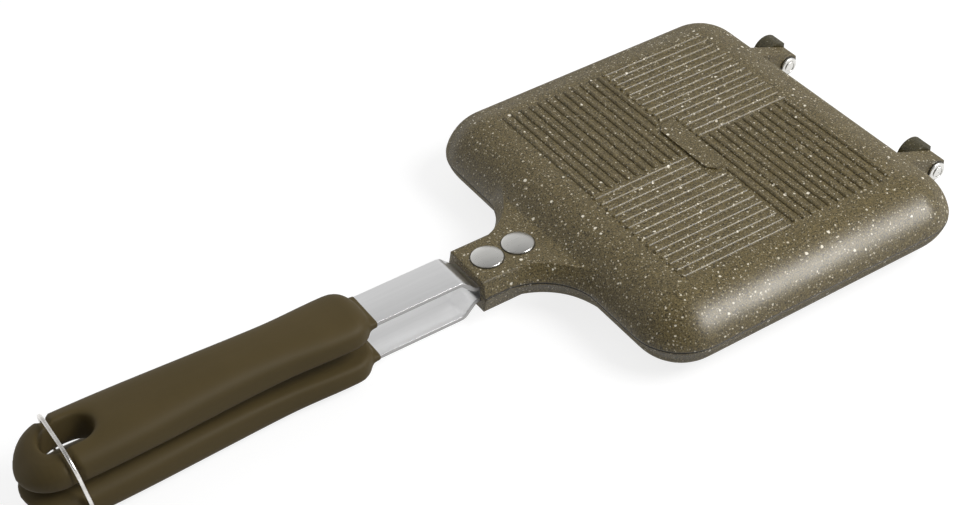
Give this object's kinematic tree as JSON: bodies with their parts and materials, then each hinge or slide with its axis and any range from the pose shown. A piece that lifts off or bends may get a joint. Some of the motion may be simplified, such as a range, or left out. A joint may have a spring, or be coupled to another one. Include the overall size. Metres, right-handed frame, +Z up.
{
  "type": "pie iron",
  "caption": "Hinged sandwich iron for a camp stove or fire: ribbed coated plates, riveted steel straps, soft grips and a wire clip that holds it shut.",
  "frame": {"origin": "centre of the bare pad under the lower plate, on the surface the closed iron stands on", "axes": "+X from the handle to the hinges, +Y across the handle along the hinge axis, +Z up, square to the closing plane"},
  "size_m": [0.3522, 0.155, 0.033],
  "materials": {
    "coated_aluminium": "satin olive-brown non-stick coating with fine pale specks",
    "strap_steel": "bright, lightly brushed stainless sheet",
    "soft_grip": "matt olive-brown silicone",
    "rivet_steel": "polished",
    "wire_steel": "bright drawn wire"
  },
  "bodies": {
    "lower": {"lower_plate": "coated_aluminium", "lower_strap": "strap_steel", "lower_grip": "soft_grip", "lower_front_rivet": "rivet_steel", "lower_rear_rivet": "rivet_steel"},
    "upper": {"upper_plate": "coated_aluminium", "upper_strap": "strap_steel", "upper_grip": "soft_grip", "upper_front_rivet": "rivet_steel", "upper_rear_rivet": "rivet_steel", "near_hinge_pin": "rivet_steel", "far_hinge_pin": "rivet_steel"},
    "clip": {"wire_clip": "wire_steel"}
  },
  "joints": [
    {"name": "lid_hinge", "type": "hinge", "parent": "lower", "child": "upper", "pos_m": [0.07725, 0, 0.0162], "axis": [0, 1, 0], "range_deg": [0, 180]},
    {"name": "clip_swing", "type": "hinge", "parent": "lower", "child": "clip", "pos_m": [-0.25275, 0, 0.0072], "axis": [0, -1, 0], "range_deg": [0, 95]}
  ]
}
